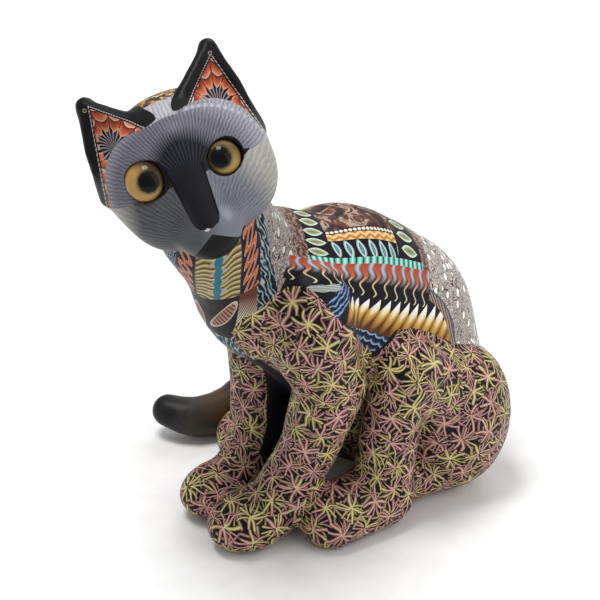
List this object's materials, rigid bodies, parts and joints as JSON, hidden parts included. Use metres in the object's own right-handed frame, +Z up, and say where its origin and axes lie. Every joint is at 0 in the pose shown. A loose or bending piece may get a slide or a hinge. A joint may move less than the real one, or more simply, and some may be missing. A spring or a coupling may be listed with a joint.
{
  "type": "polymer clay cat sculpture",
  "caption": "Sitting cat ornament of solid polymer clay, its head turned and tilted to the left, its tail laid round its right side, with domed glass eyes.",
  "frame": {"origin": "middle of the figure's bounding box, on the surface it stands on", "axes": "+Z up, -Y the way the chest faces, +X the cat's left side"},
  "size_m": [0.0982, 0.1364, 0.1593],
  "materials": {
    "polymer_clay": "baked clay with patterned veneers, sanded and buffed to a soft sheen",
    "glass_eye": "clear dome over an amber iris and a black pupil"
  },
  "bodies": {
    "root": {"cat_body": "polymer_clay", "left_eye": "glass_eye", "right_eye": "glass_eye"}
  },
  "joints": []
}
